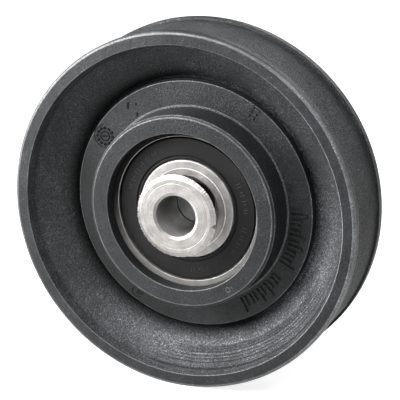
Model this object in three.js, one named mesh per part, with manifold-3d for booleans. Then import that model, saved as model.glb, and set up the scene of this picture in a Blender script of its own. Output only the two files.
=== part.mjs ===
// Belt tensioner idler: a flanged flat pulley moulded over a sealed deep-groove
// ball bearing, clamped on a two-piece spacer bush.
//
// Units are millimetres. The origin is the centre of the wheel. Everything is round
// about the Y axis: the front faces -Y, the back faces +Y, and +Z is up.

import * as THREE from 'three';
import Module from 'manifold-3d';
import { mergeVertices } from 'three/addons/utils/BufferGeometryUtils.js';

// ---------------------------------------------------------------- driving dimensions

// moulded wheel
const WHEEL_WIDTH = 20.5;
const FLANGE_RADIUS = 44.45;
const FLANGE_WIDTH = 2.7;
const FLANGE_ROUND = 0.85;
const BELT_RADIUS = 43.85;
const RIM_FACE_INNER_RADIUS = 41.2;
const RIM_LIP_DRAFT = 1.0;
const RIM_EDGE_ROUND = 0.35;
const DISH_SLOPE = 0.907;
const GROOVE_OUTER_RADIUS = 31.9;
const GROOVE_INNER_RADIUS = 31.35;
const WEB_RADIUS = 30.85;
const WEB_THICKNESS = 3.7;
const HUB_BASE_RADIUS = 24.45;
const HUB_RADIUS = 24.1;
const HUB_WIDTH = 19.0;
const HUB_ROUND = 1.0;
const HUB_BORE_RADIUS = 19.6;
const HUB_BORE_CHAMFER = 0.3;

// bearing: 17 mm bore, 40 mm outside, 12 mm wide, eight balls
const RING_WIDTH = 12;
const RING_BORE_RADIUS = 8.5;
const RING_OUTER_RADIUS = 20;
const RING_CHAMFER = 0.5;
const INNER_SHOULDER_RADIUS = 12.25;
const OUTER_SHOULDER_RADIUS = 16.45;
const SEAL_SEAT_RADIUS = 18.1;
const SEAL_SEAT_DEPTH = 1.6;
const BALL_COUNT = 8;
const BALL_RADIUS = 3.3735;
const PITCH_RADIUS = 14.25;
const RACE_CLEARANCE = 0.15;

// seals
const SEAL_RECESS = 0.25;
const SEAL_LIP_RADIUS = 12.5;
const SEAL_OUTER_RADIUS = 17.65;
const SEAL_RUBBER_THICKNESS = 0.6;
const SEAL_GROOVE_RADIUS = 12.95;
const SEAL_GROOVE_WIDTH = 0.35;
const SEAL_GROOVE_DEPTH = 0.3;
const INSERT_INNER_RADIUS = 13.1;
const INSERT_OUTER_RADIUS = 17.5;
const INSERT_THICKNESS = 0.45;

// ribbon cage and its rivets
const CAGE_HALF_WIDTH = 1.15;
const CAGE_SHEET = 0.6;
const CAGE_POCKET_CLEARANCE = 0.14;
const RIVET_SHANK_RADIUS = 0.5;
const RIVET_HEAD_RADIUS = 0.95;
const RIVET_HEAD_TOP_RADIUS = 0.665;
const RIVET_HEAD_HEIGHT = 0.35;

// spacer bush
const BUSH_LENGTH = 25.4;
const BUSH_BORE_RADIUS = 5.15;
const BUSH_NOSE_RADIUS = 10.35;
const BUSH_NOSE_CHAMFER_RADIAL = 1.2;
const BUSH_NOSE_CHAMFER_AXIAL = 0.65;
const BUSH_BORE_CHAMFER_RADIAL = 0.7;
const BUSH_BORE_CHAMFER_AXIAL = 0.3;
const BUSH_JOINT_CHAMFER = 0.3;

// clearance between neighbours that are pressed, moulded or clamped together
const FIT_GAP = 0.06;

// corners closer than this are one corner
const WELD_DISTANCE = 1e-4;

// facets round a full turn
const WHEEL_SEGMENTS = 48;
const RING_SEGMENTS = 40;
const CAGE_SEGMENTS_PER_BALL = 12;
const BALL_SEGMENTS = 12;
const BALL_RINGS = 8;
const RIVET_SEGMENTS = 8;
const RACE_ARC_STEPS = 6;
const ROUND_STEPS = 3;

// ---------------------------------------------------------------- materials

const nylon = new THREE.MeshStandardMaterial({ color: 0x3f4145, roughness: 0.62, metalness: 0 });
const rubber = new THREE.MeshStandardMaterial({ color: 0x2b2b2c, roughness: 0.55, metalness: 0 });
const bearingSteel = new THREE.MeshStandardMaterial({ color: 0xb4b2ae, roughness: 0.25, metalness: 1 });
const pressedSteel = new THREE.MeshStandardMaterial({ color: 0x9a9a98, roughness: 0.4, metalness: 1 });
const bushMetal = new THREE.MeshStandardMaterial({ color: 0xc9c7c1, roughness: 0.42, metalness: 1 });

// ---------------------------------------------------------------- helpers

const wasm = await Module();
wasm.setup();

// Turns a list of [radius, y] corners into a closed ring of revolution about Y.
// The corners run so that the solid lies on their left in the (radius, y) plane.
function turned(corners, segments) {
  const profile = corners.map(([radius, y]) => new THREE.Vector2(radius, y));
  profile.push(profile[0].clone());
  return new THREE.LatheGeometry(profile, segments);
}

// The same outline on the other side of the wheel's middle plane, in closing order.
function mirrored(corners) {
  return corners.map(([radius, y]) => [radius, -y]).reverse();
}

// Corners along a round from one angle to another, in degrees from the +radius axis.
function arc(centreRadius, centreY, radius, fromDegrees, toDegrees, steps) {
  const corners = [];
  for (let i = 0; i <= steps; i += 1) {
    const angle = THREE.MathUtils.degToRad(fromDegrees + ((toDegrees - fromDegrees) * i) / steps);
    corners.push([centreRadius + radius * Math.cos(angle), centreY + radius * Math.sin(angle)]);
  }
  return corners;
}

// A merged, position-only copy of a closed geometry as a solid that can be cut.
function toSolid(geometry) {
  const bare = geometry.clone();
  bare.deleteAttribute('normal');
  bare.deleteAttribute('uv');
  const merged = mergeVertices(bare, WELD_DISTANCE);
  return new wasm.Manifold(new wasm.Mesh({
    numProp: 3,
    vertProperties: new Float32Array(merged.attributes.position.array),
    triVerts: new Uint32Array(merged.index.array),
  }));
}

function toGeometry(solid) {
  const mesh = solid.getMesh();
  const geometry = new THREE.BufferGeometry();
  geometry.setAttribute('position', new THREE.BufferAttribute(mesh.vertProperties, 3));
  geometry.setIndex(new THREE.BufferAttribute(mesh.triVerts, 1));
  geometry.computeVertexNormals();
  return geometry;
}

function part(name, geometry, material) {
  const mesh = new THREE.Mesh(geometry, material);
  mesh.name = name;
  return mesh;
}

// A copy of a front piece for the back of the wheel: half a turn about Z.
function backCopy(name, geometry, material) {
  const mesh = part(name, geometry, material);
  mesh.rotation.z = Math.PI;
  return mesh;
}

function onPitchCircle(object, angle) {
  object.position.set(PITCH_RADIUS * Math.cos(angle), 0, PITCH_RADIUS * Math.sin(angle));
  return object;
}

// ---------------------------------------------------------------- moulded wheel

// How the dish's slope ends. At the front it runs down into a deep groove round the web,
// about as deep as the wheel's middle plane. At the back it ends on the web.
function dishFloor(grooved, slopeTop) {
  const web = WEB_THICKNESS / 2;
  const slopeFrom = RIM_FACE_INNER_RADIUS - RIM_LIP_DRAFT;
  if (!grooved) {
    return [[slopeFrom - (slopeTop - web) / DISH_SLOPE, web]];
  }
  const bottom = slopeTop - DISH_SLOPE * (slopeFrom - GROOVE_OUTER_RADIUS);
  return [
    [GROOVE_OUTER_RADIUS, bottom],
    [GROOVE_INNER_RADIUS, bottom],
    [WEB_RADIUS, web],
  ];
}

// One side of the wheel, from the belt surface over the flange and down to the bearing pocket.
function wheelSideOutline(grooved) {
  const face = WHEEL_WIDTH / 2;
  const flangeBack = face - FLANGE_WIDTH;
  const web = WEB_THICKNESS / 2;
  const hubFace = HUB_WIDTH / 2;
  const pocketWall = RING_WIDTH / 2 + FIT_GAP;
  return [
    [BELT_RADIUS, flangeBack],
    [FLANGE_RADIUS, flangeBack],
    ...arc(FLANGE_RADIUS - FLANGE_ROUND, face - FLANGE_ROUND, FLANGE_ROUND, 0, 90, ROUND_STEPS),
    [RIM_FACE_INNER_RADIUS, face],
    [RIM_FACE_INNER_RADIUS - RIM_EDGE_ROUND, face - RIM_EDGE_ROUND],
    [RIM_FACE_INNER_RADIUS - RIM_LIP_DRAFT, flangeBack],
    ...dishFloor(grooved, flangeBack),
    [HUB_BASE_RADIUS, web],
    ...arc(HUB_RADIUS - HUB_ROUND, hubFace - HUB_ROUND, HUB_ROUND, 0, 90, ROUND_STEPS),
    [HUB_BORE_RADIUS + HUB_BORE_CHAMFER, hubFace],
    [HUB_BORE_RADIUS, hubFace - HUB_BORE_CHAMFER],
    [HUB_BORE_RADIUS, pocketWall],
    [RING_OUTER_RADIUS + FIT_GAP, pocketWall],
  ];
}

function pulleyWheel() {
  const corners = [...wheelSideOutline(false), ...mirrored(wheelSideOutline(true))];
  return part('pulley_wheel', turned(corners, WHEEL_SEGMENTS), nylon);
}

// ---------------------------------------------------------------- bearing

const raceRadius = BALL_RADIUS + RACE_CLEARANCE;

// Angle, from the ring's radial direction, at which a race groove meets its shoulder.
function raceHalfAngle(shoulderRadius) {
  return THREE.MathUtils.radToDeg(Math.acos(Math.abs(shoulderRadius - PITCH_RADIUS) / raceRadius));
}

function outerRing() {
  const face = RING_WIDTH / 2;
  const seat = face - SEAL_SEAT_DEPTH;
  const half = raceHalfAngle(OUTER_SHOULDER_RADIUS);
  const corners = [
    [OUTER_SHOULDER_RADIUS, -seat],
    [SEAL_SEAT_RADIUS, -seat],
    [SEAL_SEAT_RADIUS, -face],
    [RING_OUTER_RADIUS - RING_CHAMFER, -face],
    [RING_OUTER_RADIUS, -face + RING_CHAMFER],
    [RING_OUTER_RADIUS, face - RING_CHAMFER],
    [RING_OUTER_RADIUS - RING_CHAMFER, face],
    [SEAL_SEAT_RADIUS, face],
    [SEAL_SEAT_RADIUS, seat],
    [OUTER_SHOULDER_RADIUS, seat],
    ...arc(PITCH_RADIUS, 0, raceRadius, half, -half, RACE_ARC_STEPS),
  ];
  return part('bearing_outer_ring', turned(corners, RING_SEGMENTS), bearingSteel);
}

function innerRing() {
  const face = RING_WIDTH / 2;
  const half = raceHalfAngle(INNER_SHOULDER_RADIUS);
  const corners = [
    [RING_BORE_RADIUS, -face + RING_CHAMFER],
    [RING_BORE_RADIUS + RING_CHAMFER, -face],
    [INNER_SHOULDER_RADIUS - RING_CHAMFER, -face],
    [INNER_SHOULDER_RADIUS, -face + RING_CHAMFER],
    ...arc(PITCH_RADIUS, 0, raceRadius, 180 + half, 180 - half, RACE_ARC_STEPS),
    [INNER_SHOULDER_RADIUS, face - RING_CHAMFER],
    [INNER_SHOULDER_RADIUS - RING_CHAMFER, face],
    [RING_BORE_RADIUS + RING_CHAMFER, face],
    [RING_BORE_RADIUS, face - RING_CHAMFER],
  ];
  return part('bearing_inner_ring', turned(corners, RING_SEGMENTS), bearingSteel);
}

function balls() {
  const geometry = new THREE.SphereGeometry(BALL_RADIUS, BALL_SEGMENTS, BALL_RINGS);
  const meshes = [];
  for (let i = 0; i < BALL_COUNT; i += 1) {
    const angle = (2 * Math.PI * i) / BALL_COUNT;
    meshes.push(onPitchCircle(part(`ball_${i + 1}`, geometry, bearingSteel), angle));
  }
  return meshes;
}

// One pressed half of the ribbon cage, on the -Y side: a flat washer whose sheet rises
// round each ball, with a rivet hole in each land between the balls.
function cageHalfGeometry() {
  const inner = PITCH_RADIUS - CAGE_HALF_WIDTH;
  const outer = PITCH_RADIUS + CAGE_HALF_WIDTH;
  const pocket = BALL_RADIUS + CAGE_POCKET_CLEARANCE;
  const landInside = FIT_GAP;
  const landOutside = FIT_GAP + CAGE_SHEET;
  const segments = CAGE_SEGMENTS_PER_BALL * BALL_COUNT;
  const washer = turned(
    [[inner, -landOutside], [outer, -landOutside], [outer, -landInside], [inner, -landInside]],
    segments,
  );
  const position = washer.attributes.position;
  const ballPitch = (2 * Math.PI) / BALL_COUNT;
  const half = (radius, along) => Math.sqrt(Math.max(0, radius * radius - along * along));
  for (let i = 0; i < position.count; i += 1) {
    const angle = Math.atan2(position.getZ(i), position.getX(i));
    const fromBall = angle - Math.round(angle / ballPitch) * ballPitch;
    const along = PITCH_RADIUS * fromBall;
    const isOutside = -position.getY(i) > (landInside + landOutside) / 2;
    const height = isOutside
      ? Math.max(landOutside, half(pocket + CAGE_SHEET, along))
      : Math.max(landInside, half(pocket, along));
    position.setY(i, -height);
  }
  let solid = toSolid(washer);
  const drill = new THREE.CylinderGeometry(
    RIVET_SHANK_RADIUS + FIT_GAP,
    RIVET_SHANK_RADIUS + FIT_GAP,
    4 * CAGE_SHEET,
    RIVET_SEGMENTS,
  );
  for (let i = 0; i < BALL_COUNT; i += 1) {
    const hole = drill.clone();
    const angle = ballPitch * (i + 0.5);
    hole.translate(PITCH_RADIUS * Math.cos(angle), 0, PITCH_RADIUS * Math.sin(angle));
    solid = solid.subtract(toSolid(hole));
  }
  return toGeometry(solid);
}

function cage() {
  const half = cageHalfGeometry();
  return [part('cage_front', half, pressedSteel), backCopy('cage_rear', half, pressedSteel)];
}

function cageRivets() {
  const headFace = 2 * FIT_GAP + CAGE_SHEET;
  const headTop = headFace + RIVET_HEAD_HEIGHT;
  const profile = [
    [0, -headTop],
    [RIVET_HEAD_TOP_RADIUS, -headTop],
    [RIVET_HEAD_RADIUS, -headFace],
    [RIVET_SHANK_RADIUS, -headFace],
    [RIVET_SHANK_RADIUS, headFace],
    [RIVET_HEAD_RADIUS, headFace],
    [RIVET_HEAD_TOP_RADIUS, headTop],
    [0, headTop],
  ].map(([radius, y]) => new THREE.Vector2(radius, y));
  const geometry = new THREE.LatheGeometry(profile, RIVET_SEGMENTS);
  const meshes = [];
  for (let i = 0; i < BALL_COUNT; i += 1) {
    const angle = (2 * Math.PI * (i + 0.5)) / BALL_COUNT;
    meshes.push(onPitchCircle(part(`cage_rivet_${i + 1}`, geometry, pressedSteel), angle));
  }
  return meshes;
}

// ---------------------------------------------------------------- seals

// Rubber disc on the -Y side, with a fine groove that leaves a separate lip at the inner ring.
function sealRubberGeometry() {
  const outside = -(RING_WIDTH / 2 - SEAL_RECESS);
  const inside = outside + SEAL_RUBBER_THICKNESS;
  return turned([
    [SEAL_LIP_RADIUS, outside],
    [SEAL_GROOVE_RADIUS, outside],
    [SEAL_GROOVE_RADIUS, outside + SEAL_GROOVE_DEPTH],
    [SEAL_GROOVE_RADIUS + SEAL_GROOVE_WIDTH, outside + SEAL_GROOVE_DEPTH],
    [SEAL_GROOVE_RADIUS + SEAL_GROOVE_WIDTH, outside],
    [SEAL_OUTER_RADIUS, outside],
    [SEAL_OUTER_RADIUS, inside],
    [SEAL_LIP_RADIUS, inside],
  ], RING_SEGMENTS);
}

function sealInsertGeometry() {
  const outside = -(RING_WIDTH / 2 - SEAL_RECESS - SEAL_RUBBER_THICKNESS - FIT_GAP);
  const inside = outside + INSERT_THICKNESS;
  return turned([
    [INSERT_INNER_RADIUS, outside],
    [INSERT_OUTER_RADIUS, outside],
    [INSERT_OUTER_RADIUS, inside],
    [INSERT_INNER_RADIUS, inside],
  ], RING_SEGMENTS);
}

function seals() {
  const disc = sealRubberGeometry();
  const insert = sealInsertGeometry();
  return [
    part('seal_front_rubber', disc, rubber),
    part('seal_front_insert', insert, pressedSteel),
    backCopy('seal_rear_rubber', disc, rubber),
    backCopy('seal_rear_insert', insert, pressedSteel),
  ];
}

// ---------------------------------------------------------------- spacer bush

// Front half of the bush: a spigot in the inner ring, and a nose that stands on its face.
function bushHalfGeometry() {
  const nose = -BUSH_LENGTH / 2;
  const shoulder = -(RING_WIDTH / 2 + FIT_GAP);
  const spigot = RING_BORE_RADIUS - FIT_GAP;
  return turned([
    [BUSH_BORE_RADIUS + BUSH_BORE_CHAMFER_RADIAL, nose],
    [BUSH_NOSE_RADIUS - BUSH_NOSE_CHAMFER_RADIAL, nose],
    [BUSH_NOSE_RADIUS, nose + BUSH_NOSE_CHAMFER_AXIAL],
    [BUSH_NOSE_RADIUS, shoulder],
    [spigot, shoulder],
    [spigot, -FIT_GAP],
    [BUSH_BORE_RADIUS + BUSH_JOINT_CHAMFER, -FIT_GAP],
    [BUSH_BORE_RADIUS, -FIT_GAP - BUSH_JOINT_CHAMFER],
    [BUSH_BORE_RADIUS, nose + BUSH_BORE_CHAMFER_AXIAL],
  ], RING_SEGMENTS);
}

function bush() {
  const half = bushHalfGeometry();
  return [part('bush_front', half, bushMetal), backCopy('bush_rear', half, bushMetal)];
}

// ---------------------------------------------------------------- assembly

const group = new THREE.Group();
group.add(pulleyWheel());
group.add(outerRing(), innerRing(), ...balls(), ...cage(), ...cageRivets());
group.add(...seals());
group.add(...bush());

export default group;
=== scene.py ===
"""Looks of the belt tensioner idler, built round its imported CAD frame.

Everything is in metres. The wheel turns about the Y axis, its front faces -Y and +Z is up.
Lengths written as N * MM are in millimetres; the main ones are read from the CAD frame.

Several materials get lighter or darker towards one side. Those tones were matched to one photo,
so they may stand for its light and shade as much as for wear.
"""

import math

import bmesh
import bpy
import numpy as np
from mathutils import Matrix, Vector


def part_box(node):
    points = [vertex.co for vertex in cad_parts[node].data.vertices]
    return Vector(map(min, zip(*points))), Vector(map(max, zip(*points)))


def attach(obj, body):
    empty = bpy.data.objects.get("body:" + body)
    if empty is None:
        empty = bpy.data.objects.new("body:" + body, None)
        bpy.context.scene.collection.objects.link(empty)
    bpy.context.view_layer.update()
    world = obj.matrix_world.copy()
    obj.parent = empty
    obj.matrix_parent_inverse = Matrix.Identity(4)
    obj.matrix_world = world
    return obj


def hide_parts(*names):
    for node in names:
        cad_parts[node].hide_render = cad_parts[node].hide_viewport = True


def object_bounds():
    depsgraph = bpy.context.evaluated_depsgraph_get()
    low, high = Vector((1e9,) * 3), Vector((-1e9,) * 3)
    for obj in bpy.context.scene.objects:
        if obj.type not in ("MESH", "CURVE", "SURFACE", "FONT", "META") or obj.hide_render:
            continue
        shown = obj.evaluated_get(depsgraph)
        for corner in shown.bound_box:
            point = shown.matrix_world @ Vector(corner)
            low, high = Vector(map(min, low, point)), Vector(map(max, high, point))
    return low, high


MM = 0.001

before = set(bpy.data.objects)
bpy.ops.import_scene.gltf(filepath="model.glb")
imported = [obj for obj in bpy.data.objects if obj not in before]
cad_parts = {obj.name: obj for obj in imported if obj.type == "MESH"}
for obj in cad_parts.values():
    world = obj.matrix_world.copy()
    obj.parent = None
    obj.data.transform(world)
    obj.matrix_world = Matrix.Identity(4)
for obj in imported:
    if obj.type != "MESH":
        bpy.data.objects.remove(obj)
cad_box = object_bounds()


def node_size(node):
    """Half sizes of a CAD node's box: its outer radius and half its length along Y."""
    low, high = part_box(node)
    return high[0], high[1]


# ---------------------------------------------------------------- sizes

WHEEL_R, WHEEL_HALF = node_size("pulley_wheel")
RING_R, RING_HALF = node_size("bearing_outer_ring")
INNER_R, _ = node_size("bearing_inner_ring")
BUSH_R, BUSH_HALF = node_size("bush_rear")
BALL_R = (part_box("ball_1")[1][1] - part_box("ball_1")[0][1]) / 2
PITCH_R = (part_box("ball_1")[0][0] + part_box("ball_1")[1][0]) / 2

# moulded wheel
FLANGE_WIDTH = 2.7 * MM
BELT_R = WHEEL_R - 0.6 * MM
RIM_FACE_R = WHEEL_R - 3.25 * MM
DISH_TOP_R = WHEEL_R - 4.25 * MM
DISH_SLOPE = 0.907
GROOVE_R = 31.45 * MM
WEB_R = 30.85 * MM
WEB_Y = 1.85 * MM
HUB_BASE_R = 24.45 * MM
HUB_R = 24.1 * MM
HUB_Y = 9.5 * MM
HUB_BORE_R = 19.6 * MM
OUTER_ROUND = 0.80 * MM
EDGE_ROUND = 0.22 * MM
EDGE_FILLETS = (OUTER_ROUND, EDGE_ROUND)

# gap between pieces that are pressed, moulded or clamped together
FIT_GAP = 0.06 * MM

# bearing
SEAL_SEAT_R = 18.1 * MM
SEAL_SEAT_DEPTH = 1.6 * MM
SEAL_R = 17.65 * MM
SEAL_LIP_R = 12.5 * MM
SEAL_Y = RING_HALF - 0.25 * MM
SEAL_THICKNESS = 0.55 * MM
OUTER_SHOULDER_R = 16.45 * MM
RACE_R = BALL_R + 0.15 * MM
RACE_STEPS = 20

# bush
BUSH_BORE_R = 5.15 * MM
SPIGOT_R = 8.44 * MM
BUSH_EDGE_Y = -BUSH_HALF + 0.65 * MM
NICK_ANGLE = math.radians(-8.4)

# the lit side: the dish gets painted light towards it and the outer ring painted shade away from it, in
# degrees that turn from +X to +Z
LIT_SIDE = -60

FINE_TURN = 384
COARSE_TURN = 192

# ---------------------------------------------------------------- stage: camera, lights, floor

CAMERA_AZIMUTH = math.radians(23.13)
CAMERA_ELEVATION = math.radians(17.07)
CAMERA_DISTANCE = 461.9 * MM
CAMERA_SIDE_OFFSET = 4.93 * MM
CAMERA_HEIGHT_OFFSET = 3.34 * MM
CAMERA_LENS = 173.3
FLOOR_SIZE = 4.0
# the floor glows, except in a pool in front of the wheel that the lights brighten anyway
POOL_CENTRE = (0, -0.19, 0)
FLOOR_GLOW = (0.10, 0.19, 0.0, 0.85)
# the studio wall: from one height to another on a unit sphere, it fades to dim overhead
WALL_GLOW = (0.10, 0.24, 0.85, 0.03)


def view_axes(azimuth, elevation):
    """Right, up and forward of a camera that looks along +Y at azimuth 0."""
    forward = Vector((
        -math.sin(azimuth) * math.cos(elevation),
        math.cos(azimuth) * math.cos(elevation),
        -math.sin(elevation),
    ))
    right = Vector((math.cos(azimuth), math.sin(azimuth), 0))
    return right, right.cross(forward), forward


def make_camera():
    right, up, forward = view_axes(CAMERA_AZIMUTH, CAMERA_ELEVATION)
    data = bpy.data.cameras.new("camera")
    data.lens = CAMERA_LENS
    data.clip_start = 0.01
    camera = bpy.data.objects.new("camera", data)
    front_centre = Vector((0, -WHEEL_HALF, 0))
    camera.location = (
        front_centre
        + right * CAMERA_SIDE_OFFSET
        + up * CAMERA_HEIGHT_OFFSET
        - forward * CAMERA_DISTANCE
    )
    camera.rotation_euler = forward.to_track_quat("-Z", "Y").to_euler()
    bpy.context.collection.objects.link(camera)
    bpy.context.scene.camera = camera


def area_light(name, azimuth, rise, distance, size, power):
    """A square softbox aimed at the origin.

    azimuth turns from +X towards +Z in the plane of the wheel, and rise lifts the light out
    of that plane towards the front."""
    azimuth = math.radians(azimuth)
    rise = math.radians(rise)
    direction = Vector((
        math.cos(rise) * math.cos(azimuth),
        -math.sin(rise),
        math.cos(rise) * math.sin(azimuth),
    ))
    data = bpy.data.lights.new(name, "AREA")
    data.size = size
    data.energy = power
    light = bpy.data.objects.new(name, data)
    light.location = direction * distance
    light.rotation_euler = (-direction).to_track_quat("-Z", "Y").to_euler()
    bpy.context.collection.objects.link(light)


def make_world():
    """A studio wall that is pale near the horizon and dim overhead."""
    world = bpy.data.worlds.new("studio")
    world.use_nodes = True
    tree = world.node_tree
    place = tree.nodes.new("ShaderNodeTexCoord")
    split = tree.nodes.new("ShaderNodeSeparateXYZ")
    ramp = tree.nodes.new("ShaderNodeMapRange")
    ramp.interpolation_type = "SMOOTHSTEP"
    for key, value in zip(("From Min", "From Max", "To Min", "To Max"), WALL_GLOW):
        ramp.inputs[key].default_value = value
    tree.links.new(place.outputs["Generated"], split.inputs[0])
    tree.links.new(split.outputs[2], ramp.inputs["Value"])
    tree.links.new(ramp.outputs["Result"], tree.nodes["Background"].inputs["Strength"])
    tree.nodes["Background"].inputs["Color"].default_value = (0.98, 0.99, 1.0, 1)
    bpy.context.scene.world = world


def make_lights():
    area_light("key_top", 110, 35, 0.20, 0.10, 0.85)
    area_light("key_middle", 140, 35, 0.20, 0.10, 0.55)
    area_light("key_low", 165, 35, 0.20, 0.10, 0.46)
    area_light("key_left", 165, 25, 0.33, 0.16, 1.84)
    area_light("fill_right", 55, 25, 0.33, 0.16, 0.94)
    area_light("back_top", 60, -25, 0.45, 0.20, 0.08)
    area_light("back_face", 95, -80, 0.50, 0.25, 1.30)


def make_floor():
    mesh = bpy.data.meshes.new("floor")
    half = FLOOR_SIZE / 2
    level = cad_box[0][2]
    corners = [(-half, -half, 0), (half, -half, 0), (half, half, 0), (-half, half, 0)]
    mesh.from_pydata(corners, [], [(0, 1, 2, 3)])
    floor = bpy.data.objects.new("floor", mesh)
    floor.location.z = level
    bpy.context.collection.objects.link(floor)
    material = bpy.data.materials.new("floor")
    material.use_nodes = True
    shader = material.node_tree.nodes["Principled BSDF"]
    shader.inputs["Base Color"].default_value = (0.45, 0.45, 0.45, 1)
    shader.inputs["Roughness"].default_value = 0.9
    shader.inputs["Emission Color"].default_value = (1, 1, 1, 1)
    add_glow(material.node_tree, shader)
    mesh.materials.append(material)


def add_glow(tree, shader):
    """Lets the floor glow an even white outside its pool."""
    place = tree.nodes.new("ShaderNodeTexCoord")
    away = tree.nodes.new("ShaderNodeVectorMath")
    away.operation = "DISTANCE"
    away.inputs[1].default_value = POOL_CENTRE
    ramp = tree.nodes.new("ShaderNodeMapRange")
    ramp.interpolation_type = "SMOOTHSTEP"
    for key, value in zip(("From Min", "From Max", "To Min", "To Max"), FLOOR_GLOW):
        ramp.inputs[key].default_value = value
    tree.links.new(place.outputs["Object"], away.inputs[0])
    tree.links.new(away.outputs["Value"], ramp.inputs["Value"])
    tree.links.new(ramp.outputs["Result"], shader.inputs["Emission Strength"])


make_camera()
make_world()
make_lights()
make_floor()
bpy.context.scene.view_settings.view_transform = "Standard"

# ---------------------------------------------------------------- shader building


class Shader:
    """A material's node tree, with short calls for the nodes that these materials use."""

    def __init__(self, name):
        self.material = bpy.data.materials.new(name)
        self.material.use_nodes = True
        self.tree = self.material.node_tree
        self.principled = self.tree.nodes["Principled BSDF"]
        self.coords = self.tree.nodes.new("ShaderNodeTexCoord").outputs["Object"]

    def node(self, kind, settings=None, **inputs):
        node = self.tree.nodes.new(kind)
        for key, value in (settings or {}).items():
            setattr(node, key, value)
        for key, value in inputs.items():
            self.plug(node.inputs[key.replace("_", " ")], value)
        return node

    def plug(self, socket, value):
        if isinstance(value, bpy.types.NodeSocket):
            self.tree.links.new(value, socket)
        else:
            socket.default_value = value

    def noise(self, feature, detail=2.0, roughness=0.5, coords=None, seed=0.0):
        """Noise from 0 to 1 whose blotches are about one feature length across."""
        node = self.node(
            "ShaderNodeTexNoise",
            {"noise_dimensions": "4D"},
            Vector=coords or self.coords,
            W=seed,
            Scale=1 / feature,
            Detail=detail,
            Roughness=roughness,
        )
        return node.outputs["Fac"]

    def cells(self, feature, seed=0.0, stretch=(1, 1, 1)):
        """Distance to the nearest of scattered points, about one feature length apart."""
        mapping = self.node("ShaderNodeMapping", Vector=self.coords, Scale=stretch)
        node = self.node(
            "ShaderNodeTexVoronoi",
            {"voronoi_dimensions": "4D"},
            Vector=mapping.outputs[0],
            W=seed,
            Scale=1 / feature,
        )
        return node.outputs["Distance"]

    def math(self, operation, first, second=0.0, third=0.0):
        node = self.tree.nodes.new("ShaderNodeMath")
        node.operation = operation
        for socket, value in zip(node.inputs, (first, second, third)):
            self.plug(socket, value)
        return node.outputs[0]

    def ramp(self, value, low, high, out_low=0.0, out_high=1.0):
        """Maps low..high smoothly to out_low..out_high, and holds the ends."""
        node = self.node("ShaderNodeMapRange", {"interpolation_type": "SMOOTHSTEP"})
        for key, number in zip(("Value", "From Min", "From Max", "To Min", "To Max"),
                               (value, low, high, out_low, out_high)):
            self.plug(node.inputs[key], number)
        return node.outputs["Result"]

    def mix(self, amount, first, second):
        node = self.tree.nodes.new("ShaderNodeMix")
        node.data_type = "RGBA"
        self.plug(node.inputs[0], amount)
        self.plug(node.inputs[6], first)
        self.plug(node.inputs[7], second)
        return node.outputs[2]

    def axis_radius(self):
        """Distance from the Y axis."""
        split = self.node("ShaderNodeSeparateXYZ", Vector=self.coords)
        square = self.math("MULTIPLY", split.outputs[0], split.outputs[0])
        total = self.math("MULTIPLY_ADD", split.outputs[2], split.outputs[2], square)
        return self.math("SQRT", total)

    def toward(self, degrees, start, end, out_low=0.0, out_high=1.0):
        """Changes across the wheel towards an angle that turns from +X to +Z."""
        angle = math.radians(degrees)
        split = self.node("ShaderNodeSeparateXYZ", Vector=self.coords)
        up = self.math("MULTIPLY", split.outputs[2], math.sin(angle))
        along = self.math("MULTIPLY_ADD", split.outputs[0], math.cos(angle), up)
        return self.ramp(along, start, end, out_low, out_high)

    def turning_marks(self, pitch, seed=0.0):
        """Noise that only changes with the distance from the Y axis, as a lathe tool leaves."""
        spread = self.node("ShaderNodeCombineXYZ", X=self.axis_radius())
        return self.noise(pitch, 3.0, 0.6, spread.outputs[0], seed)

    def bump(self, height, depth, strength=1.0, normal=None):
        node = self.node("ShaderNodeBump", Height=height, Distance=depth, Strength=strength)
        if normal is not None:
            self.plug(node.inputs["Normal"], normal)
        return node.outputs[0]

    def finish(self, colour, roughness, normal=None, metallic=0.0, specular=0.5):
        self.plug(self.principled.inputs["Base Color"], colour)
        self.plug(self.principled.inputs["Roughness"], roughness)
        self.principled.inputs["Metallic"].default_value = metallic
        self.plug(self.principled.inputs["Specular IOR Level"], specular)
        if normal is not None:
            self.plug(self.principled.inputs["Normal"], normal)
        return self.material


def grey(value, warm=0.0):
    """A nearly neutral colour: warm above zero leans to red, below zero to blue."""
    return (value * (1 + warm), value, value * (1 - warm), 1)


# ---------------------------------------------------------------- materials


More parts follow.
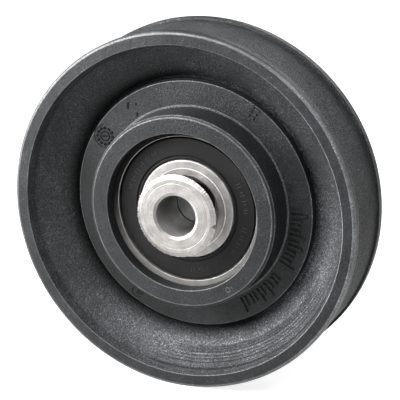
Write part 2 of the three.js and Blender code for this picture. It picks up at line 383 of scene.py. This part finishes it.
def nylon(name, level, grain_depth, speckle, roughness, specular=0.17, dish=False, one_side=None):
    """Black glass-filled nylon: cloudy charcoal, peppered with fine pale and dark specks.

    dish adds faint turning marks and painted light on its lit side, and painted shade at the foot of the
    slope, in the groove round the web. one_side brightens or darkens the material towards one side as
    painted light and shade, with the numbers that Shader.toward takes."""
    s = Shader(name)
    cloud = s.noise(9 * MM, 4, 0.6, seed=1.0)
    mottle = s.noise(1.6 * MM, 3, 0.6, seed=2.0)
    grain = s.noise(0.50 * MM, 2, 0.6, seed=3.0)
    fine = s.noise(0.21 * MM, 2, 0.6, seed=4.0)
    fibres = s.cells(0.75 * MM, 5.0, (1.0, 1.0, 0.55))
    flecks = s.cells(1.1 * MM, 6.0, (0.6, 1.0, 1.0))
    dust = s.cells(4.5 * MM, 9.0)
    salt = s.math("MULTIPLY", s.ramp(fine, 0.52, 0.60), s.ramp(grain, 0.40, 0.56))
    factors = [
        s.ramp(mottle, 0.35, 0.65, 1.0, 0.80),
        s.ramp(fine, 0.40, 0.49, 1 - 0.9 * speckle, 1.0),
        s.ramp(salt, 0.0, 1.0, 1.0, 1 + 2.6 * speckle),
        s.ramp(fibres, 0.10, 0.17, 1 + 5.0 * speckle, 1.0),
        s.ramp(flecks, 0.08, 0.14, 1 + 5.0 * speckle, 1.0),
    ]
    rough = s.ramp(grain, 0.3, 0.7, roughness - 0.10, roughness + 0.10)
    normal = s.bump(s.math("MULTIPLY_ADD", fine, 0.6, grain), grain_depth)
    if dish:
        radius = s.axis_radius()
        pale = s.toward(LIT_SIDE, 26 * MM, 34 * MM)
        marked = s.math("MULTIPLY", pale, s.ramp(radius, 35.0 * MM, 36.5 * MM))
        tracks = s.math("MULTIPLY", s.ramp(s.turning_marks(0.27 * MM, 8.0), 0.50, 0.57), marked)
        normal = s.bump(tracks, 0.08 * MM, normal=normal)
        # painted light: the slope is brightened up to nearly four times towards the lit side
        lift = s.ramp(radius, 36.3 * MM, 39.5 * MM, 2.9, 1.1)
        factors.append(s.math("MULTIPLY_ADD", s.toward(LIT_SIDE, 7 * MM, 36 * MM), lift, 1.0))
        factors.append(s.ramp(tracks, 0.0, 1.0, 1.0, 0.35))
        # painted shade at the foot of the slope in the groove, darkest on the left and a little lighter
        # on the right, with its specular turned down there as well
        foot = GROOVE_R + 0.3 * MM
        foot_shade = s.toward(20, 0, 30 * MM, 0.11, 1.2)
        factors.append(s.ramp(radius, foot, GROOVE_R + 4.4 * MM, foot_shade, 1.0))
        specular = s.ramp(radius, foot, GROOVE_R + 3.4 * MM, 0.02, specular)
    if one_side:
        factors.append(s.toward(*one_side))
    tone = s.ramp(cloud, 0.35, 0.65, level * 0.75, level * 1.20)
    for factor in factors:
        tone = s.math("MULTIPLY", tone, factor)
    colour = s.mix(tone, grey(0.0), grey(1.0, -0.06))
    colour = s.mix(s.ramp(dust, 0.020, 0.035, 0.7, 0.0), colour, grey(level * 9.0, 0.12))
    return s.finish(colour, rough, normal, specular=specular)


def rubber(name, level):
    """Moulded seal rubber with cloudy gloss and a little pale dust."""
    s = Shader(name)
    cloud = s.noise(5 * MM, 3, 0.6, seed=11.0)
    grain = s.noise(0.30 * MM, 2, 0.6, seed=12.0)
    dust = s.cells(1.6 * MM, 13.0)
    colour = s.mix(s.ramp(cloud, 0.3, 0.7), grey(level * 0.75), grey(level * 1.20, 0.02))
    colour = s.mix(s.ramp(dust, 0.03, 0.07, 0.5, 0.0), colour, grey(level * 8, 0.05))
    rough = s.ramp(cloud, 0.3, 0.7, 0.46, 0.58)
    return s.finish(colour, rough, s.bump(grain, 0.03 * MM), specular=0.12)


def ground_steel(name, level, metallic, painted_shade=0.0):
    """Ground bearing steel. It can take painted shade, darker and less glossy, on the side away from the
    lit side.
    """
    s = Shader(name)
    ground = s.turning_marks(0.12 * MM, 21.0)
    cloud = s.noise(3 * MM, 3, 0.6, seed=22.0)
    stain = s.noise(1.1 * MM, 3, 0.6, seed=23.0)
    colour = s.mix(s.ramp(cloud, 0.3, 0.7), grey(level * 0.80, 0.04), grey(level * 1.20, 0.03))
    colour = s.mix(s.ramp(stain, 0.58, 0.70, 0.0, 0.4), colour, grey(level * 0.4, 0.10))
    # painted shade: darker colour and weaker gloss away from the lit side
    colour = s.mix(s.toward(LIT_SIDE, -14 * MM, 8 * MM, painted_shade, 0.0), colour, grey(level * 0.04))
    rough = s.ramp(ground, 0.3, 0.7, 0.36, 0.50)
    gloss = s.toward(LIT_SIDE, -14 * MM, 8 * MM, 0.5 * (1 - painted_shade), 0.5)
    return s.finish(colour, rough, s.bump(ground, 0.006 * MM), metallic=metallic, specular=gloss)


def pressed_steel():
    s = Shader("pressed_steel")
    cloud = s.noise(2 * MM, 4, 0.6, seed=31.0)
    grain = s.noise(0.2 * MM, 2, 0.5, seed=32.0)
    colour = s.mix(s.ramp(cloud, 0.35, 0.65), grey(0.34, 0.03), grey(0.50, 0.02))
    rough = s.ramp(grain, 0.3, 0.7, 0.30, 0.45)
    return s.finish(colour, rough, s.bump(grain, 0.006 * MM), metallic=1.0)


def bush_metal(name, level, rough_low, rough_high, ring_depth, metallic=0.85, left_shade=0.0, deep=0.0):
    """Light machined metal: a facing pattern in rings, small pits and dull blotches.

    It can take painted shade on its left side, and painted shade deep in its bore, towards the middle of
    the bush's length."""
    s = Shader(name)
    blotch = s.noise(2.2 * MM, 4, 0.7, seed=41.0)
    grain = s.noise(0.26 * MM, 3, 0.6, seed=42.0)
    stain = s.noise(0.9 * MM, 3, 0.7, seed=45.0)
    pits = s.cells(1.0 * MM, 43.0)
    rings = s.turning_marks(0.34 * MM, 44.0)
    colour = s.mix(s.ramp(blotch, 0.38, 0.62), grey(level * 0.80, 0.05), grey(level * 1.05, 0.03))
    colour = s.mix(s.ramp(rings, 0.34, 0.48, 0.45, 0.0), colour, grey(level * 0.55, 0.06))
    colour = s.mix(s.ramp(stain, 0.57, 0.66, 0.0, 0.5), colour, grey(level * 0.45, 0.08))
    colour = s.mix(s.ramp(pits, 0.06, 0.12, 0.8, 0.0), colour, grey(level * 0.25, 0.06))
    # painted shade on the left side
    colour = s.mix(s.toward(0, -8 * MM, 7 * MM, left_shade, 0.0), colour, grey(level * 0.3, 0.04))
    # painted shade deep in the bore, towards the middle of the bush's length
    along = s.math("ABSOLUTE", s.node("ShaderNodeSeparateXYZ", Vector=s.coords).outputs[1])
    colour = s.mix(s.ramp(along, 1 * MM, BUSH_HALF, deep, 0.0), colour, grey(level * 0.10, 0.30))
    rough = s.ramp(blotch, 0.3, 0.7, rough_low, rough_high)
    normal = s.bump(rings, ring_depth)
    normal = s.bump(grain, 0.04 * MM, normal=normal)
    return s.finish(colour, rough, normal, metallic=metallic)


# painted light and shade towards one side: painted shade on the web and the belt, a painted highlight on
# the edges. Each gives the angle, where the change starts and ends, and the factor at each
WEB_SIDE_SHADE = (210, 10 * MM, 25 * MM, 1.05, 0.40)
BELT_SIDE_SHADE = (-30, 20 * MM, 42 * MM, 1.0, 0.45)
EDGE_SIDE_HIGHLIGHT = (0, 15 * MM, 40 * MM, 1.0, 2.6)

NYLON_FACE = nylon("nylon_face", 0.0092, 0.09 * MM, 0.55, 0.46)
NYLON_DISH = nylon("nylon_dish", 0.0135, 0.26 * MM, 0.85, 0.58, dish=True)
NYLON_WEB = nylon("nylon_web", 0.0100, 0.10 * MM, 0.55, 0.52, one_side=WEB_SIDE_SHADE)
NYLON_BELT = nylon("nylon_belt", 0.023, 0.40 * MM, 1.0, 0.60, one_side=BELT_SIDE_SHADE)
# the edge material is about three times paler than the face: a painted highlight on fillets, the step at
# the hub's base, the parting line and the hub mark
NYLON_EDGE_HIGHLIGHT = nylon("nylon_edge_highlight", 0.028, 0.10 * MM, 0.50, 0.40, 0.40, one_side=EDGE_SIDE_HIGHLIGHT)
NYLON_SHADE = nylon("nylon_shade", 0.003, 0.05 * MM, 0.30, 0.70, specular=0.08)
SEAL_RUBBER = rubber("seal_rubber", 0.005)
SEAL_MARK = rubber("seal_mark", 0.022)
BEARING_STEEL = ground_steel("bearing_steel", 0.20, 0.55)
OUTER_RING_STEEL = ground_steel("outer_ring_steel", 0.09, 0.0, painted_shade=0.95)
PRESSED_STEEL = pressed_steel()
BUSH_METAL = bush_metal("bush_metal", 0.30, 0.42, 0.56, 0.02 * MM, left_shade=0.75)
BUSH_FACE = bush_metal("bush_face", 0.215, 0.48, 0.60, 0.06 * MM)
BUSH_SIDE = bush_metal("bush_side", 0.55, 0.45, 0.60, 0.04 * MM, metallic=0.2)
BUSH_BORE = bush_metal("bush_bore", 0.12, 0.45, 0.60, 0.02 * MM, metallic=0.5, deep=1.0)

# ---------------------------------------------------------------- mesh building


def filleted(corners, steps=5):
    """Closed outline of (radius, y) points from corners of (radius, y, fillet radius).

    Long straight stretches get a point near each end, which keeps their shading flat."""
    points = []
    count = len(corners)
    for i, (radius, y, fillet) in enumerate(corners):
        here = np.array((radius, y))
        before = np.array(corners[i - 1][:2]) - here
        after = np.array(corners[(i + 1) % count][:2]) - here
        if fillet == 0:
            points.append(here)
            continue
        before /= np.linalg.norm(before)
        after /= np.linalg.norm(after)
        half_angle = math.acos(np.clip(before @ after, -1, 1)) / 2
        reach = fillet / math.tan(half_angle)
        middle = before + after
        centre = here + middle / np.linalg.norm(middle) * fillet / math.sin(half_angle)
        start = here + before * reach - centre
        end = here + after * reach - centre
        sweep = math.pi - 2 * half_angle
        for k in range(steps + 1):
            t = k / steps
            points.append(
                centre
                + (math.sin((1 - t) * sweep) * start + math.sin(t * sweep) * end) / math.sin(sweep)
            )
    return with_supports(points)


def with_supports(points, margin=0.12 * MM, longest=0.6 * MM):
    outline = []
    for i, point in enumerate(points):
        following = points[(i + 1) % len(points)]
        step = following - point
        length = np.linalg.norm(step)
        outline.append(point)
        if length > longest:
            outline.append(point + step * margin / length)
            outline.append(following - step * margin / length)
    return np.array(outline)


def mirrored(corners):
    """The same corners on the other side of the wheel's middle plane, in closing order."""
    return [(radius, -y, fillet) for radius, y, fillet in reversed(corners)]


def flipped(corners):
    """An outline's corners turned over to the back of the wheel."""
    return [(radius, -y, fillet) for radius, y, fillet in corners]


def mesh_object(name, vertices, faces):
    mesh = bpy.data.meshes.new(name)
    mesh.from_pydata(vertices, [], faces)
    work = bmesh.new()
    work.from_mesh(mesh)
    bmesh.ops.recalc_face_normals(work, faces=work.faces)
    work.to_mesh(mesh)
    work.free()
    mesh.shade_smooth()
    piece = bpy.data.objects.new(name, mesh)
    bpy.context.collection.objects.link(piece)
    return piece


def revolved(name, outline, turn, wobble=None):
    """A ring of revolution about Y from a closed outline of (radius, y) points.

    wobble(radius, y, angle) may return moved radii and y values for every point."""
    count = len(outline)
    angles = np.arange(turn) * 2 * math.pi / turn
    radius, angle = np.meshgrid(outline[:, 0], angles)
    y = np.meshgrid(outline[:, 1], angles)[0]
    if wobble is not None:
        radius, y = wobble(radius, y, angle)
    vertices = np.stack((radius * np.cos(angle), y, radius * np.sin(angle)), -1).reshape(-1, 3)
    i, j = np.meshgrid(np.arange(turn), np.arange(count), indexing="ij")
    after_i = (i + 1) % turn
    after_j = (j + 1) % count
    faces = np.stack(
        (i * count + j, i * count + after_j, after_i * count + after_j, after_i * count + j), -1
    ).reshape(-1, 4)
    return mesh_object(name, vertices.tolist(), faces.tolist())


def dress(piece, body, material, node=None):
    """Gives a piece its material and its body, and hides the CAD node that it stands for."""
    piece.data.materials.clear()
    piece.data.materials.append(material)
    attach(piece, body)
    if node:
        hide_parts(node)
    return piece


# ---------------------------------------------------------------- moulded wheel


def dish_floor(grooved):
    """Corners where the dish's slope ends: in a deep groove round the web, or on the web itself."""
    top_y = WHEEL_HALF - FLANGE_WIDTH
    if grooved:
        return [
            (GROOVE_R, top_y - DISH_SLOPE * (DISH_TOP_R - GROOVE_R), 0.50 * MM),
            (WEB_R, WEB_Y, EDGE_ROUND),
        ]
    return [(DISH_TOP_R - (top_y - WEB_Y) / DISH_SLOPE, WEB_Y, 2.0 * MM)]


def wheel_side(grooved):
    """Half of the wheel's section: from the belt surface over the flange to the bearing pocket."""
    flange_back = WHEEL_HALF - FLANGE_WIDTH
    pocket_y = RING_HALF + FIT_GAP
    return [
        (BELT_R, flange_back, 0.10 * MM),
        (WHEEL_R - 0.01 * MM, flange_back, 0.12 * MM),
        (WHEEL_R - 0.01 * MM, WHEEL_HALF, OUTER_ROUND),
        (RIM_FACE_R, WHEEL_HALF, EDGE_ROUND),
        (DISH_TOP_R + 0.10 * MM, flange_back + 0.02 * MM, 0.05 * MM),
        (DISH_TOP_R - 0.02 * MM, flange_back + 0.10 * MM, 0.08 * MM),
        (DISH_TOP_R - 0.20 * MM, flange_back - 0.17 * MM, 0.08 * MM),
        *dish_floor(grooved),
        (HUB_BASE_R + 0.45 * MM, WEB_Y, 0.05 * MM),
        (HUB_BASE_R + 0.35 * MM, WEB_Y + 0.10 * MM, 0.06 * MM),
        (HUB_BASE_R, WEB_Y + 0.10 * MM, 0.05 * MM),
        (HUB_R, HUB_Y - 0.60 * MM, EDGE_ROUND),
        (HUB_R - 0.65 * MM, HUB_Y, EDGE_ROUND),
        (HUB_BORE_R, HUB_Y, EDGE_ROUND),
        (HUB_BORE_R, pocket_y, 0.0),
        (RING_R + 0.02 * MM, pocket_y, 0.0),
    ]


# places in the wheel's list of materials, after its plain face
DISH_SLOT = 1
WEB_SLOT = 2
BELT_SLOT = 3
EDGE_SLOT = 4


def make_wheel():
    outline = filleted(wheel_side(False) + mirrored(wheel_side(True)))
    wheel = revolved("wheel_moulding", outline, FINE_TURN)
    dress(wheel, "wheel", NYLON_FACE, "pulley_wheel")
    for material in (NYLON_DISH, NYLON_WEB, NYLON_BELT, NYLON_EDGE_HIGHLIGHT):
        wheel.data.materials.append(material)
    edges = [(r, y, fillet) for r, y, fillet in wheel_side(True) if fillet in EDGE_FILLETS]
    for polygon in wheel.data.polygons:
        x, y, z = polygon.center
        radius, depth = math.hypot(x, z), abs(y)
        if radius > BELT_R - 0.1 * MM and depth < WHEEL_HALF - FLANGE_WIDTH:
            polygon.material_index = BELT_SLOT
        elif WEB_R + 0.3 * MM < radius < RIM_FACE_R and depth < WHEEL_HALF - 1.0 * MM:
            polygon.material_index = DISH_SLOT
        elif radius < WEB_R + 0.3 * MM and depth < HUB_Y - 0.7 * MM:
            polygon.material_index = WEB_SLOT
        # fillets and the step at the hub's base take the paler edge material as a painted highlight
        on_edge = any(
            math.hypot(radius - r, -y - edge_y) < 0.95 * fillet for r, edge_y, fillet in edges
        )
        on_step = 0 < radius - HUB_BASE_R < 0.5 * MM and depth < WEB_Y + 0.12 * MM
        if on_edge or on_step:
            polygon.material_index = EDGE_SLOT
    return wheel


make_wheel()

# ---------------------------------------------------------------- moulded marks


# how far a mark reaches down into the face that it stands on
MARK_ROOT = 0.10 * MM


def low_block(place, half_u, half_v, corner, base_y, height):
    """A low block with rounded corners on a front face, a little smaller at its top.

    place maps (u, v) in the block's own plane to (x, z)."""
    rings = ((0.0, base_y + MARK_ROOT), (0.0, base_y - 0.5 * height), (0.3, base_y - height))
    vertices = []
    steps = 3
    for inset, y in rings:
        cut = inset * min(half_u, half_v)
        for quarter, (side_u, side_v) in enumerate(((1, 1), (-1, 1), (-1, -1), (1, -1))):
            for k in range(steps + 1):
                angle = math.radians(90) * (quarter + k / steps)
                u = side_u * (half_u - corner) + (corner - cut) * math.cos(angle)
                v = side_v * (half_v - corner) + (corner - cut) * math.sin(angle)
                x, z = place(u, v)
                vertices.append((x, y, z))
    count = 4 * (steps + 1)
    faces = [tuple(range(count)), tuple(reversed(range(2 * count, 3 * count)))]
    for ring in range(2):
        for k in range(count):
            a = ring * count + k
            b = ring * count + (k + 1) % count
            faces.append((a, b, b + count, a + count))
    return vertices, faces


def arc_ridge(centre, radius, width, base_y, height, start=0.0, end=360.0):
    """A thin raised line along an arc on a front face, with angles in degrees."""
    half_section = ((-0.5, MARK_ROOT), (-0.5, 0.0), (-0.2, -height))
    section = half_section + tuple((-offset, rise) for offset, rise in reversed(half_section))
    closed = end - start >= 360
    steps = max(6, round((end - start) / 7.5))
    vertices = []
    for k in range(steps if closed else steps + 1):
        angle = math.radians(start + (end - start) * k / steps)
        for offset, rise in section:
            r = radius + offset * width
            x = centre[0] + r * math.cos(angle)
            z = centre[1] + r * math.sin(angle)
            vertices.append((x, base_y + rise, z))
    size = len(section)
    total = len(vertices)
    faces = []
    for k in range(steps):
        for j in range(size):
            a = k * size + j
            b = k * size + (j + 1) % size
            faces.append((a, b, (b + size) % total, (a + size) % total))
    if not closed:
        faces += [tuple(range(size)), tuple(reversed(range(total - size, total)))]
    return vertices, faces


def merged(name, parts):
    vertices = []
    faces = []
    for part_vertices, part_faces in parts:
        start = len(vertices)
        vertices += part_vertices
        faces += [tuple(start + index for index in face) for face in part_faces]
    piece = mesh_object(name, vertices, faces)
    piece.data.shade_flat()
    return piece


def polar_place(radius, degrees, turn=0.0):
    """Places a block at a radius and angle on the wheel, with u pointing outwards before its turn."""
    angle = math.radians(degrees)
    heading = angle + math.radians(turn)
    centre = (radius * math.cos(angle), radius * math.sin(angle))
    return lambda u, v: (
        centre[0] + u * math.cos(heading) - v * math.sin(heading),
        centre[1] + u * math.sin(heading) + v * math.cos(heading),
    )


def band_of_bars():
    """Raised bars of two lengths on the web, in two groups."""
    parts = []
    for k in range(12):
        if k == 6:
            continue
        degrees = 2.0 - 5.6 * k
        tall = k % 3 != 1
        for side in (-1, 1):
            half = (2.0 if tall else 1.35) * MM if side < 0 else 1.35 * MM
            place = polar_place(25.6 * MM + half, degrees + 1.25 * side)
            parts.append(low_block(place, half, 0.30 * MM, 0.20 * MM, -WEB_Y, 0.45 * MM))
        place = polar_place(27.0 * MM, degrees)
        parts.append(low_block(place, 0.25 * MM, 0.42 * MM, 0.15 * MM, -WEB_Y, 0.24 * MM))
    return parts


def stud(x, z):
    return low_block(lambda u, v: (x + u, z + v), 0.34 * MM, 0.34 * MM, 0.28 * MM, -WEB_Y, 0.30 * MM)


def date_dial():
    """A ring of studs with a pointer, as mould makers put in for the date, but with no figures."""
    radius = 27.86 * MM
    degrees = 148.1
    centre = polar_place(radius, degrees)(0, 0)
    parts = [
        arc_ridge(centre, 1.15 * MM, 0.30 * MM, -WEB_Y, 0.20 * MM),
        arc_ridge(centre, 2.85 * MM, 0.20 * MM, -WEB_Y, 0.12 * MM, 100, 330),
        low_block(polar_place(radius, degrees, 40), 0.75 * MM, 0.14 * MM, 0.10 * MM, -WEB_Y, 0.26 * MM),
    ]
    for k in range(12):
        angle = math.radians(30 * k)
        x = centre[0] + 2.05 * MM * math.cos(angle)
        z = centre[1] + 2.05 * MM * math.sin(angle)
        parts.append(stud(x, z))
    return parts


def dark_dents():
    """Three small dark spots on the web."""
    return [
        low_block(polar_place(28.9 * MM, 126.8, -38), 0.85 * MM, 0.30 * MM, 0.20 * MM, -WEB_Y, 0.10 * MM),
        low_block(polar_place(28.2 * MM, 122.6, -30), 0.35 * MM, 0.22 * MM, 0.15 * MM, -WEB_Y, 0.08 * MM),
        low_block(polar_place(25.8 * MM, 125.2, -35), 0.60 * MM, 0.26 * MM, 0.18 * MM, -WEB_Y, 0.08 * MM),
    ]


def small_web_marks():
    """Two faint circles and two rows of small squares on the web."""
    parts = [
        arc_ridge(polar_place(28.1 * MM, 13.0)(0, 0), 2.43 * MM, 0.20 * MM, -WEB_Y, 0.08 * MM),
        arc_ridge(polar_place(28.98 * MM, 238.0)(0, 0), 1.35 * MM, 0.25 * MM, -WEB_Y, 0.16 * MM),
        low_block(polar_place(28.98 * MM, 238.0), 0.60 * MM, 0.18 * MM, 0.12 * MM, -WEB_Y, 0.20 * MM),
        low_block(polar_place(28.98 * MM, 239.2), 0.45 * MM, 0.16 * MM, 0.12 * MM, -WEB_Y, 0.20 * MM),
    ]
    for row in range(2):
        for column in range(3):
            place = polar_place((27.9 + 1.15 * column) * MM, 58.1 + 2.8 * (row - 0.5), 8)
            parts.append(low_block(place, 0.38 * MM, 0.50 * MM, 0.18 * MM, -WEB_Y, 0.30 * MM))
    return parts


def parting_line():
    """A thin seam across the belt surface, where two slides of the mould met."""
    angle = math.radians(-32.75)
    out = Vector((math.cos(angle), 0, math.sin(angle)))
    along = Vector((-math.sin(angle), 0, math.cos(angle)))
    half_y = WHEEL_HALF - FLANGE_WIDTH - 0.05 * MM
    section = ((-0.12, -0.10), (-0.12, 0.0), (0.0, 0.07), (0.12, 0.0), (0.12, -0.10))
    vertices = []
    for y in (-half_y, half_y):
        for across, rise in section:
            point = out * (BELT_R + rise * MM) + along * across * MM
            vertices.append((point.x, y, point.z))
    count = len(section)
    faces = [tuple(range(count)), tuple(reversed(range(count, 2 * count)))]
    faces += [(k, (k + 1) % count, count + (k + 1) % count, count + k) for k in range(count)]
    return [(vertices, faces)]


def hub_mark():
    """A small circle with a dash on the hub's face."""
    radius = 21.73 * MM
    degrees = -55.3
    return [
        arc_ridge(polar_place(radius, degrees)(0, 0), 0.55 * MM, 0.22 * MM, -HUB_Y, 0.07 * MM),
        low_block(polar_place(radius, degrees + 3.2), 0.35 * MM, 0.10 * MM, 0.08 * MM, -HUB_Y, 0.06 * MM),
    ]


def make_wheel_marks():
    marks = merged("web_marks", band_of_bars() + small_web_marks())
    dress(marks, "wheel", NYLON_WEB)
    # the date dial and the dents are near-black: painted shade of pits, put on raised marks
    dress(merged("date_dial", date_dial()), "wheel", NYLON_SHADE)
    dress(merged("web_dents", dark_dents()), "wheel", NYLON_SHADE)
    dress(merged("parting_line", parting_line()), "wheel", NYLON_EDGE_HIGHLIGHT)
    dress(merged("hub_mark", hub_mark()), "wheel", NYLON_EDGE_HIGHLIGHT)


make_wheel_marks()

# ---------------------------------------------------------------- bearing


def arc_corners(centre_r, centre_y, radius, start, end, steps):
    """Corners with no fillet along an arc, with angles in degrees from the +radius axis."""
    angles = np.radians(np.linspace(start, end, steps + 1))
    return [(centre_r + radius * math.cos(a), centre_y + radius * math.sin(a), 0) for a in angles]


def race_half_angle(shoulder_r):
    return math.degrees(math.acos(abs(shoulder_r - PITCH_R) / RACE_R))


def make_rings():
    seat = RING_HALF - SEAL_SEAT_DEPTH
    half = race_half_angle(OUTER_SHOULDER_R)
    race = arc_corners(PITCH_R, 0, RACE_R, half, -half, RACE_STEPS)
    outer = filleted([
        (OUTER_SHOULDER_R, -seat, 0),
        (SEAL_SEAT_R, -seat, 0),
        (SEAL_SEAT_R, -RING_HALF, 0.15 * MM),
        (RING_R - 0.02 * MM, -RING_HALF, 0.60 * MM),
        (RING_R - 0.02 * MM, RING_HALF, 0.60 * MM),
        (SEAL_SEAT_R, RING_HALF, 0.15 * MM),
        (SEAL_SEAT_R, seat, 0),
        (OUTER_SHOULDER_R, seat, 0),
        *race,
    ])
    ring = revolved("outer_ring", outer, COARSE_TURN)
    dress(ring, "wheel", OUTER_RING_STEEL, "bearing_outer_ring")
    # the edge round the seal seat takes the paler bearing steel, free of the ring's painted shade: a
    # painted highlight
    ring.data.materials.append(BEARING_STEEL)
    for polygon in ring.data.polygons:
        x, y, z = polygon.center
        if abs(math.hypot(x, z) - SEAL_SEAT_R) < 0.20 * MM and abs(y) > RING_HALF - 0.20 * MM:
            polygon.material_index = 1
    half = race_half_angle(INNER_R)
    race = arc_corners(PITCH_R, 0, RACE_R, 180 + half, 180 - half, RACE_STEPS)
    inner = filleted([
        (SPIGOT_R + FIT_GAP, -RING_HALF, 0.40 * MM),
        (INNER_R - 0.02 * MM, -RING_HALF, 0.35 * MM),
        *race,
        (INNER_R - 0.02 * MM, RING_HALF, 0.35 * MM),
        (SPIGOT_R + FIT_GAP, RING_HALF, 0.40 * MM),
    ])
    ring = revolved("inner_ring", inner, COARSE_TURN)
    dress(ring, "core", BEARING_STEEL, "bearing_inner_ring")


def seal_section():
    inside = SEAL_Y - SEAL_THICKNESS
    return [
        (SEAL_LIP_R, -SEAL_Y, 0.08 * MM),
        (12.95 * MM, -SEAL_Y, 0.10 * MM),
        (13.02 * MM, -SEAL_Y + 0.35 * MM, 0.05 * MM),
        (13.30 * MM, -SEAL_Y + 0.35 * MM, 0.05 * MM),
        (13.42 * MM, -SEAL_Y, 0.10 * MM),
        (SEAL_R, -SEAL_Y, 0.20 * MM),
        (SEAL_R, -inside, 0.05 * MM),
        (SEAL_LIP_R, -inside, 0.05 * MM),
    ]


def make_seals():
    section = seal_section()
    front = revolved("front_seal", filleted(section), COARSE_TURN)
    back = revolved("rear_seal", filleted(flipped(section)), COARSE_TURN)
    dress(front, "wheel", SEAL_RUBBER, "seal_front_rubber")
    dress(back, "wheel", SEAL_RUBBER, "seal_rear_rubber")


def make_seal_marks():
    """Pairs of raised dashes in groups round the front seal, in place of its characters."""
    parts = []
    for start, count in ((-84, 4), (-50, 1), (-38, 4), (4, 4), (124, 6)):
        for k in range(count):
            degrees = start + 8.2 * k
            for side in (-1, 1):
                place = polar_place(15.35 * MM, degrees + 1.5 * side)
                half = (0.60 if (k + side) % 3 else 0.36) * MM
                parts.append(low_block(place, half, 0.11 * MM, 0.09 * MM, -SEAL_Y, 0.10 * MM))
    dress(merged("seal_marks", parts), "wheel", SEAL_MARK)


make_rings()
make_seals()
make_seal_marks()

# ---------------------------------------------------------------- spacer bush


def bush_section():
    return [
        (BUSH_BORE_R + 0.70 * MM, -BUSH_HALF, 0.06 * MM),
        (8.10 * MM, -BUSH_HALF, 0.02 * MM),
        (8.18 * MM, -BUSH_HALF + 0.05 * MM, 0.02 * MM),
        (8.28 * MM, -BUSH_HALF + 0.05 * MM, 0.02 * MM),
        (8.36 * MM, -BUSH_HALF, 0.02 * MM),
        (BUSH_R - 1.20 * MM, -BUSH_HALF, 0.10 * MM),
        (BUSH_R - 0.01 * MM, BUSH_EDGE_Y, 0.10 * MM),
        (BUSH_R - 0.01 * MM, BUSH_EDGE_Y + 0.30 * MM, 0.05 * MM),
        (BUSH_R - 0.01 * MM, -RING_HALF - 0.04 * MM, 0.12 * MM),
        (SPIGOT_R, -RING_HALF - 0.04 * MM, 0.0),
        (SPIGOT_R, -FIT_GAP, 0.20 * MM),
        (BUSH_BORE_R + 0.30 * MM, -FIT_GAP, 0.05 * MM),
        (BUSH_BORE_R, -0.36 * MM, 0.05 * MM),
        (BUSH_BORE_R, -BUSH_HALF + 0.30 * MM, 0.06 * MM),
    ]


def worn_edge(radius, y, angle):
    """Burrs round the edge between the bush's chamfer and its side, and one nick."""
    near = np.exp(-(((radius - BUSH_R) / (0.30 * MM)) ** 2) - ((y - BUSH_EDGE_Y) / (0.20 * MM)) ** 2)
    ripple = np.sin(23 * angle + 1) * np.sin(61 * angle) + 0.6 * np.sin(97 * angle + 2)
    turn_from_nick = (angle - NICK_ANGLE + math.pi) % (2 * math.pi) - math.pi
    nick = np.exp(-((turn_from_nick / 0.04) ** 2))
    return radius - near * (0.06 + 0.06 * ripple + 0.60 * nick) * MM, y + near * 0.06 * ripple * MM


# places in the bush's list of materials, after the plain metal of its chamfers
END_FACE_SLOT = 1
SIDE_SLOT = 2
BORE_SLOT = 3


def make_bush():
    section = bush_section()
    front = revolved("front_bush", filleted(section), FINE_TURN, worn_edge)
    back = revolved("rear_bush", filleted(flipped(section)), COARSE_TURN)
    dress(front, "core", BUSH_METAL, "bush_front")
    dress(back, "core", BUSH_METAL, "bush_rear")
    for bush in (front, back):
        bush.data.materials.append(BUSH_FACE)
        bush.data.materials.append(BUSH_SIDE)
        bush.data.materials.append(BUSH_BORE)
        for polygon in bush.data.polygons:
            x, y, z = polygon.center
            radius = math.hypot(x, z)
            if abs(y) > BUSH_HALF - 0.06 * MM:
                polygon.material_index = END_FACE_SLOT
            elif radius > BUSH_R - 0.5 * MM and abs(y) < abs(BUSH_EDGE_Y) - 0.06 * MM:
                polygon.material_index = SIDE_SLOT
            elif radius < BUSH_BORE_R + 0.02 * MM:
                polygon.material_index = BORE_SLOT


make_bush()

# ---------------------------------------------------------------- inner pieces that keep their CAD shape


def dress_cad_nodes():
    for name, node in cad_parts.items():
        if name.startswith("ball_"):
            material = BEARING_STEEL
        elif name.startswith("cage") or name.endswith("_insert"):
            material = PRESSED_STEEL
        else:
            continue
        node.data.materials.clear()
        node.data.materials.append(material)


dress_cad_nodes()
